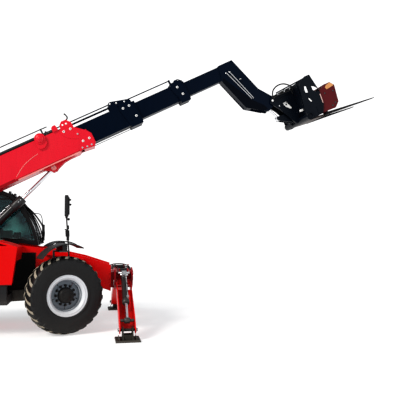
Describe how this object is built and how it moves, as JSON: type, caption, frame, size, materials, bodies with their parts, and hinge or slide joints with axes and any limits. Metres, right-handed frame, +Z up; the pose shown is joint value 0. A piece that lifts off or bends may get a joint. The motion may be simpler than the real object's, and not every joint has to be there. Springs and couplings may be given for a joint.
{
  "type": "telehandler",
  "caption": "Telescopic handler with a raised four-section boom, pallet forks on a tilting carriage, side cab and front swing-down stabilisers.",
  "frame": {"origin": "centre of the overall footprint, at ground level", "axes": "+X forward towards the forks, +Y to the machine's left (cab side), +Z up"},
  "size_m": [9.8676, 3.81, 4.8836],
  "materials": {
    "body_red": "gloss enamel",
    "boom_red": "gloss enamel",
    "navy_black": "satin enamel",
    "black_paint": "satin enamel",
    "maroon_paint": "satin enamel",
    "fork_black": "worn enamel",
    "cast_dark": "as cast",
    "axle_grey": "painted casting",
    "chrome_rod": "polished",
    "rim_silver": "gloss enamel",
    "tyre_rubber": "dusty rubber",
    "black_rubber": "moulded rubber",
    "black_plastic": "moulded",
    "seat_fabric": "woven",
    "tinted_glass": "tinted"
  },
  "bodies": {
    "chassis": {"chassis_frame": "body_red", "counterweight": "body_red", "engine_block": "cast_dark", "fuel_tank": "black_paint", "hydraulic_tank_steps": "black_paint", "cab_shell": "body_red", "cab_glass": "tinted_glass", "cab_controls": "black_plastic", "seat_cushion": "seat_fabric", "mirrors": "black_plastic", "front_axle": "axle_grey", "rear_axle": "axle_grey", "stabiliser_housing": "body_red"},
    "engine_hood": {"engine_hood": "body_red"},
    "cab_door": {"cab_door": "body_red", "door_glass": "tinted_glass"},
    "boom": {"outer_boom": "boom_red", "boom_hose": "black_rubber"},
    "section_2": {"boom_section_2": "navy_black"},
    "section_3": {"boom_section_3": "navy_black"},
    "section_4": {"boom_section_4": "navy_black", "boom_nose": "navy_black"},
    "fork_carriage": {"carriage": "navy_black", "fork_frame": "maroon_paint", "forks": "fork_black", "carriage_hose": "black_rubber"},
    "lift_rod": {"lift_rod": "chrome_rod"},
    "lift_barrel": {"lift_barrel": "black_paint"},
    "tilt_barrel": {"tilt_barrel": "black_paint"},
    "tilt_rod": {"tilt_rod": "chrome_rod"},
    "steering_knuckle_front_right": {"knuckle_front_right": "axle_grey", "mudguard_front_right": "black_plastic"},
    "wheel_front_right": {"tyre_front_right": "tyre_rubber", "rim_front_right": "rim_silver"},
    "steering_knuckle_front_left": {"knuckle_front_left": "axle_grey", "mudguard_front_left": "black_plastic"},
    "wheel_front_left": {"tyre_front_left": "tyre_rubber", "rim_front_left": "rim_silver"},
    "steering_knuckle_rear_right": {"knuckle_rear_right": "axle_grey", "mudguard_rear_right": "black_plastic"},
    "wheel_rear_right": {"tyre_rear_right": "tyre_rubber", "rim_rear_right": "rim_silver"},
    "steering_knuckle_rear_left": {"knuckle_rear_left": "axle_grey", "mudguard_rear_left": "black_plastic"},
    "wheel_rear_left": {"tyre_rear_left": "tyre_rubber", "rim_rear_left": "rim_silver"},
    "leg_left": {"stabiliser_leg_left": "body_red"},
    "leg_barrel_left": {"leg_barrel_left": "black_paint"},
    "leg_rod_left": {"leg_rod_left": "chrome_rod"},
    "foot_left": {"stabiliser_foot_left": "black_paint"},
    "leg_right": {"stabiliser_leg_right": "body_red"},
    "leg_barrel_right": {"leg_barrel_right": "black_paint"},
    "leg_rod_right": {"leg_rod_right": "chrome_rod"},
    "foot_right": {"stabiliser_foot_right": "black_paint"}
  },
  "joints": [
    {"name": "boom_lift", "type": "hinge", "parent": "chassis", "child": "boom", "pos_m": [-4.28377, 0, 1.487], "axis": [0, -1, 0], "range_deg": [-26, 43.6]},
    {"name": "boom_extend", "type": "slide", "parent": "boom", "child": "section_2", "axis": [0.8957, 0, 0.4446], "range_m": [-0.61, 2.79]},
    {"name": "extend_section_3", "type": "slide", "parent": "section_2", "child": "section_3", "axis": [0.8957, 0, 0.4446], "range_m": [-0.61, 2.79]},
    {"name": "extend_section_4", "type": "slide", "parent": "section_3", "child": "section_4", "axis": [0.8957, 0, 0.4446], "range_m": [-0.61, 2.79]},
    {"name": "carriage_tilt", "type": "hinge", "parent": "section_4", "child": "fork_carriage", "pos_m": [3.01623, 0, 4.13], "axis": [0, -1, 0], "range_deg": [-75, 20]},
    {"name": "lift_rod_pivot", "type": "hinge", "parent": "boom", "child": "lift_rod", "pos_m": [-1.02972, 0, 2.7674], "axis": [0, -1, 0], "range_deg": [-1.24, 1.94]},
    {"name": "lift_stroke", "type": "slide", "parent": "lift_rod", "child": "lift_barrel", "axis": [-0.6939, 0, -0.7201], "range_m": [-0.613, 1.025]},
    {"name": "tilt_barrel_pivot", "type": "hinge", "parent": "section_4", "child": "tilt_barrel", "pos_m": [2.39623, 0, 4.5], "axis": [0, -1, 0], "range_deg": [-21.07, 5.99]},
    {"name": "tilt_stroke", "type": "slide", "parent": "tilt_barrel", "child": "tilt_rod", "axis": [0.7535, 0, -0.6575], "range_m": [-0.294, 0.081]},
    {"name": "steer_front_right", "type": "hinge", "parent": "chassis", "child": "steering_knuckle_front_right", "pos_m": [-0.86377, -0.78, 0.625], "axis": [0, 0, 1], "range_deg": [-53, 13]},
    {"name": "steer_front_left", "type": "hinge", "parent": "chassis", "child": "steering_knuckle_front_left", "pos_m": [-0.86377, 0.78, 0.625], "axis": [0, 0, 1], "range_deg": [-53, 13]},
    {"name": "steer_rear_right", "type": "hinge", "parent": "chassis", "child": "steering_knuckle_rear_right", "pos_m": [-3.93377, -0.78, 0.625], "axis": [0, 0, 1], "range_deg": [-33, 33]},
    {"name": "steer_rear_left", "type": "hinge", "parent": "chassis", "child": "steering_knuckle_rear_left", "pos_m": [-3.93377, 0.78, 0.625], "axis": [0, 0, 1], "range_deg": [-33, 33]},
    {"name": "roll_front_right", "type": "hinge", "parent": "steering_knuckle_front_right", "child": "wheel_front_right", "pos_m": [-0.7851, -0.99613, 0.625], "axis": [-0.342, 0.9397, 0], "continuous": true},
    {"name": "roll_front_left", "type": "hinge", "parent": "steering_knuckle_front_left", "child": "wheel_front_left", "pos_m": [-0.94243, 0.99613, 0.625], "axis": [-0.342, 0.9397, 0], "continuous": true},
    {"name": "roll_rear_right", "type": "hinge", "parent": "steering_knuckle_rear_right", "child": "wheel_rear_right", "pos_m": [-3.93377, -1.01, 0.625], "axis": [0, 1, 0], "continuous": true},
    {"name": "roll_rear_left", "type": "hinge", "parent": "steering_knuckle_rear_left", "child": "wheel_rear_left", "pos_m": [-3.93377, 1.01, 0.625], "axis": [0, 1, 0], "continuous": true},
    {"name": "door_swing", "type": "hinge", "parent": "chassis", "child": "cab_door", "pos_m": [-2.63777, 1.183, 1.6], "axis": [0, 0, 1], "range_deg": [0, 90]},
    {"name": "hood_swing", "type": "hinge", "parent": "chassis", "child": "engine_hood", "pos_m": [-2.48377, -0.399, 1.499], "axis": [-1, 0, 0], "range_deg": [0, 55]},
    {"name": "leg_swing_left", "type": "hinge", "parent": "chassis", "child": "leg_left", "pos_m": [0.18623, 0.48, 0.76], "axis": [1, 0, 0], "range_deg": [0, 95]},
    {"name": "leg_barrel_pivot_left", "type": "hinge", "parent": "chassis", "child": "leg_barrel_left", "pos_m": [0.18623, 0.52, 0.955], "axis": [1, 0, 0], "range_deg": [-0.5, 100.59]},
    {"name": "leg_stroke_left", "type": "slide", "parent": "leg_barrel_left", "child": "leg_rod_left", "axis": [0, 0.8499, -0.527], "range_m": [-0.276, 0.003]},
    {"name": "foot_swivel_left", "type": "hinge", "parent": "leg_left", "child": "foot_left", "pos_m": [0.18623, 1.72, 0.16], "axis": [1, 0, 0], "range_deg": [-12, 12]},
    {"name": "leg_swing_right", "type": "hinge", "parent": "chassis", "child": "leg_right", "pos_m": [0.18623, -0.48, 0.76], "axis": [-1, 0, 0], "range_deg": [0, 95]},
    {"name": "leg_barrel_pivot_right", "type": "hinge", "parent": "chassis", "child": "leg_barrel_right", "pos_m": [0.18623, -0.52, 0.955], "axis": [-1, 0, 0], "range_deg": [-0.5, 100.59]},
    {"name": "leg_stroke_right", "type": "slide", "parent": "leg_barrel_right", "child": "leg_rod_right", "axis": [0, -0.8499, -0.527], "range_m": [-0.276, 0.003]},
    {"name": "foot_swivel_right", "type": "hinge", "parent": "leg_right", "child": "foot_right", "pos_m": [0.18623, -1.72, 0.16], "axis": [-1, 0, 0], "range_deg": [-12, 12]}
  ],
  "couplings": [
    {"joint": "extend_section_3", "follows": "boom_extend", "ratio": 1},
    {"joint": "extend_section_4", "follows": "boom_extend", "ratio": 1},
    {"joint": "lift_rod_pivot", "follows": "boom_lift", "ratio": 0.04},
    {"joint": "lift_stroke", "follows": "boom_lift", "m_per_rad": 1.34},
    {"joint": "tilt_barrel_pivot", "follows": "carriage_tilt", "ratio": 0.2743},
    {"joint": "tilt_stroke", "follows": "carriage_tilt", "m_per_rad": 0.2221},
    {"joint": "steer_front_left", "follows": "steer_front_right", "ratio": 1},
    {"joint": "steer_rear_left", "follows": "steer_rear_right", "ratio": 1},
    {"joint": "leg_barrel_pivot_left", "follows": "leg_swing_left", "ratio": 1.0536},
    {"joint": "leg_stroke_left", "follows": "leg_swing_left", "m_per_rad": -0.1648},
    {"joint": "leg_barrel_pivot_right", "follows": "leg_swing_right", "ratio": 1.0536},
    {"joint": "leg_stroke_right", "follows": "leg_swing_right", "m_per_rad": -0.1648}
  ]
}
